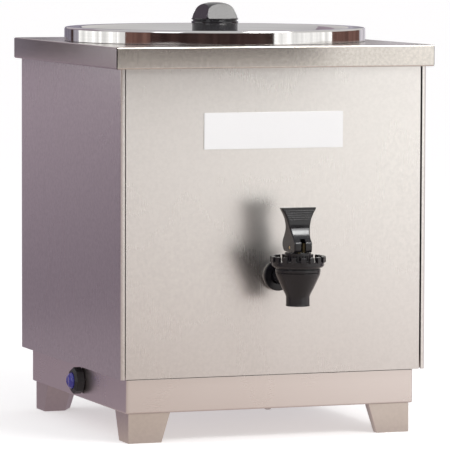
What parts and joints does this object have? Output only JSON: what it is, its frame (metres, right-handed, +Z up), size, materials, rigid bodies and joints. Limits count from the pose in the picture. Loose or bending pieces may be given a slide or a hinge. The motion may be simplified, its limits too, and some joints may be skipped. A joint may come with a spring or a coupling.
{
  "type": "nacho cheese dispenser",
  "caption": "Countertop heated cheese dispenser: square stainless steel cabinet on short feet, a round lidded pot in its deck, and a lever faucet on the front.",
  "frame": {"origin": "on the counter, under the middle of the whole object's footprint", "axes": "+Z up, -Y out of the front with the faucet, +X to the right of someone facing the front"},
  "size_m": [0.3202, 0.3992, 0.4111],
  "materials": {
    "brushed_steel": "stainless steel sheet with a fine brushed grain",
    "polished_steel": "polished stainless steel",
    "screw_steel": "plain stainless screws",
    "black_plastic": "black moulded plastic with a soft gloss",
    "black_phenolic": "black phenolic moulding, glossy",
    "silicone": "food-grade silicone",
    "brass": "machined brass-coloured metal",
    "blue_lens": "deep blue translucent moulding, glossy",
    "label_white": "blank white label plate",
    "aluminium": "cast aluminium",
    "ceramic": "ceramic",
    "insulation_wool": "pressed mineral wool",
    "lead_red": "heat-proof wire insulation"
  },
  "bodies": {
    "cabinet": {"back_panel": "brushed_steel", "back_screw_high_left": "screw_steel", "back_screw_high_right": "screw_steel", "back_screw_low_left": "screw_steel", "back_screw_low_right": "screw_steel", "bottom_cover": "brushed_steel", "clamp_bar": "brushed_steel", "clamp_nut": "brushed_steel", "cover_screw_back": "screw_steel", "cover_screw_front": "screw_steel", "cover_screw_left": "screw_steel", "cover_screw_right": "screw_steel", "deck": "brushed_steel", "faucet_body": "black_plastic", "faucet_bonnet": "black_plastic", "faucet_shank": "black_plastic", "floor_pan": "brushed_steel", "food_pot": "brushed_steel", "foot_back_left": "brushed_steel", "foot_back_right": "brushed_steel", "foot_bolt_back_left": "screw_steel", "foot_bolt_back_right": "screw_steel", "foot_bolt_front_left": "screw_steel", "foot_bolt_front_right": "screw_steel", "foot_front_left": "brushed_steel", "foot_front_right": "brushed_steel", "front_gasket": "silicone", "front_panel": "brushed_steel", "heater_band": "brushed_steel", "heater_plate": "aluminium", "insulation": "insulation_wool", "label_plate": "label_white", "lead_inlet_to_switch": "lead_red", "lead_switch_to_thermostat": "lead_red", "lead_thermostat_to_heater": "lead_red", "left_side_panel": "brushed_steel", "plinth_back": "brushed_steel", "plinth_front": "brushed_steel", "plinth_left": "brushed_steel", "plinth_right": "brushed_steel", "pot_gasket": "silicone", "power_inlet": "black_plastic", "right_side_panel": "brushed_steel", "shank_collar": "black_plastic", "shank_nut": "black_plastic", "switch_bezel": "black_plastic", "switch_housing": "black_phenolic", "thermal_cutoff": "ceramic", "thermostat": "black_phenolic"},
    "lid": {"lid": "polished_steel", "lid_knob": "black_phenolic", "knob_screw": "screw_steel"},
    "stem": {"valve_stem": "brass", "seat_cup": "silicone", "handle_pin": "brass"},
    "handle": {"faucet_handle": "black_plastic"},
    "button": {"button_cap": "blue_lens"}
  },
  "joints": [
    {"name": "lid_lift", "type": "slide", "parent": "cabinet", "child": "lid", "axis": [0, 0, 1], "range_m": [0, 0.12]},
    {"name": "stem_lift", "type": "slide", "parent": "cabinet", "child": "stem", "axis": [0, 0, 1], "range_m": [0, 0.007], "stiffness_N_per_m": 100, "springref_m": -0.005},
    {"name": "handle_tilt", "type": "hinge", "parent": "stem", "child": "handle", "pos_m": [0.002, -0.17355, 0.187], "axis": [1, 0, 0], "range_deg": [0, 35.2]},
    {"name": "button_press", "type": "slide", "parent": "cabinet", "child": "button", "axis": [1, 0, 0], "range_m": [0, 0.003], "stiffness_N_per_m": 500}
  ],
  "couplings": [
    {"joint": "handle_tilt", "follows": "stem_lift", "rad_per_m": 87}
  ]
}
